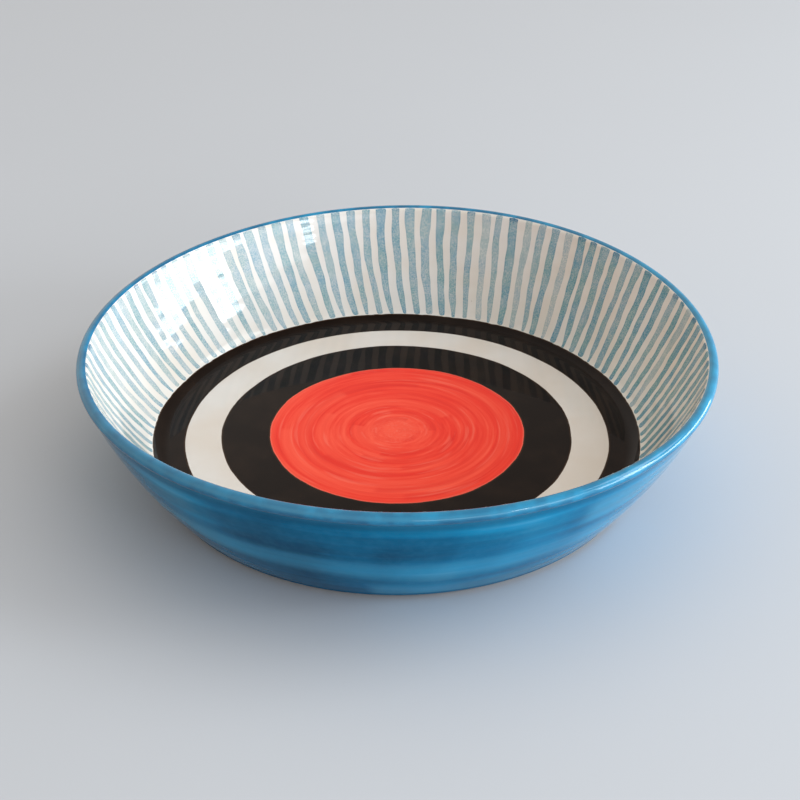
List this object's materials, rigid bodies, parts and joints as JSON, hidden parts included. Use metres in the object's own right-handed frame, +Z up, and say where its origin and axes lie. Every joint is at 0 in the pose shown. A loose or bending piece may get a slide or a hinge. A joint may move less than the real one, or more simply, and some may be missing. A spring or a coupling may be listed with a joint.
{
  "type": "soup plate",
  "caption": "Round deep plate with a bowed wall, rolled lip and low foot ring, a floor painted in rings and brushed stripes round the inside.",
  "frame": {"origin": "centre of the foot's resting plane", "axes": "+Z up along the axis that the plate was turned on; -Y towards the viewer of the picture and +X to their right"},
  "size_m": [0.2214, 0.2214, 0.0492],
  "materials": {
    "clay_body": "bare fired stoneware, fine sandy matt",
    "outside_blue": "gloss blue glaze brushed on in broad level streaks",
    "underside_blue": "gloss blue glaze, thinner and more even",
    "lip_blue": "gloss blue band over the rolled lip",
    "wall_white": "gloss off-white glaze",
    "stripe_blue": "pale blue brush strokes, pooled and grainy, under gloss",
    "ring_black": "deep gloss brown-black",
    "ring_cream": "gloss cream",
    "centre_red": "gloss orange-red with the brush's turns in it"
  },
  "bodies": {
    "root": {"clay_body": "clay_body", "outside_glaze": "outside_blue", "underside_glaze": "underside_blue", "lip_glaze": "lip_blue", "wall_glaze": "wall_white", "wall_stripes": "stripe_blue", "outer_black_ring": "ring_black", "cream_ring": "ring_cream", "inner_black_ring": "ring_black", "red_centre": "centre_red"}
  },
  "joints": []
}
